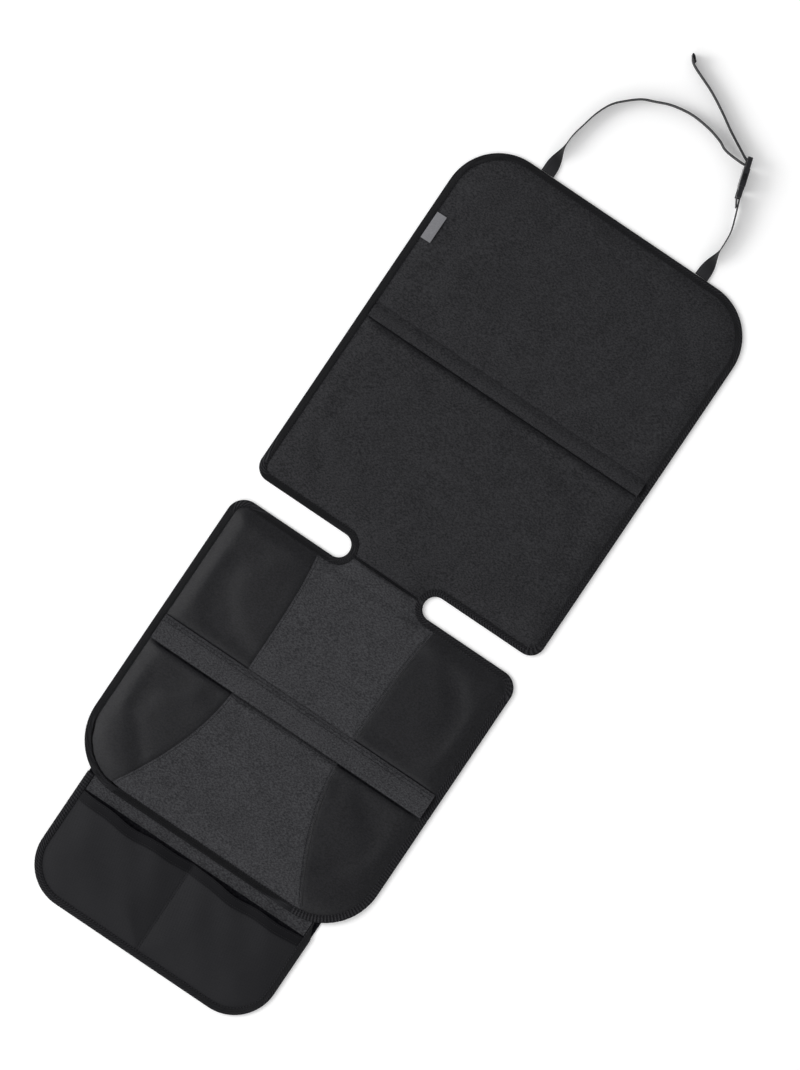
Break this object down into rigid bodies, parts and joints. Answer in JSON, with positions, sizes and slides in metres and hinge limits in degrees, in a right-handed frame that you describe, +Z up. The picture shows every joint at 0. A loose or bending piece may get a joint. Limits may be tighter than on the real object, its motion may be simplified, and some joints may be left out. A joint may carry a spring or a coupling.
{
  "type": "car seat protector mat",
  "caption": "Padded car seat protector mat laid flat, with a back panel, seat panel, side slots, a mesh pocket flap and a buckled headrest strap.",
  "frame": {"origin": "middle of the mat's length and width, on its underside, without the headrest strap", "axes": "+X across the mat, +Y along it towards the headrest strap, +Z up out of its padded face"},
  "size_m": [0.47, 1.465, 0.028],
  "materials": {
    "black_cloth": "matt woven polyester",
    "grey_cloth": "matt woven polyester",
    "patch_cloth": "slightly glossy coated weave",
    "edge_tape": "ribbed grosgrain",
    "foam": "closed-cell foam",
    "backing": "anti-slip dotted cloth",
    "pocket_lining": "matt woven polyester",
    "mesh": "fine knitted mesh",
    "label": "bare woven label",
    "webbing": "flat woven webbing",
    "buckle": "moulded black plastic"
  },
  "bodies": {
    "root": {"back_upper_cover": "black_cloth", "back_lower_cover": "black_cloth", "back_upper_foam": "foam", "back_lower_foam": "foam", "back_backing": "backing", "seat_rear_centre": "grey_cloth", "seat_rear_left": "patch_cloth", "seat_rear_right": "patch_cloth", "seat_fold_band": "grey_cloth", "seat_front_centre": "grey_cloth", "seat_front_left": "patch_cloth", "seat_front_right": "patch_cloth", "seat_rear_foam": "foam", "seat_front_foam": "foam", "seat_backing": "backing", "mat_edge_tape": "edge_tape", "pocket_backing": "pocket_lining", "pocket_upper_band": "grey_cloth", "pocket_mesh_left": "mesh", "pocket_mesh_right": "mesh", "pocket_hem_tape_left": "edge_tape", "pocket_hem_tape_right": "edge_tape", "pocket_edge_tape": "edge_tape", "label_tab": "label", "adjuster_strap": "webbing", "anchor_strap": "webbing", "buckle_socket": "buckle", "buckle_plug": "buckle"}
  },
  "joints": []
}
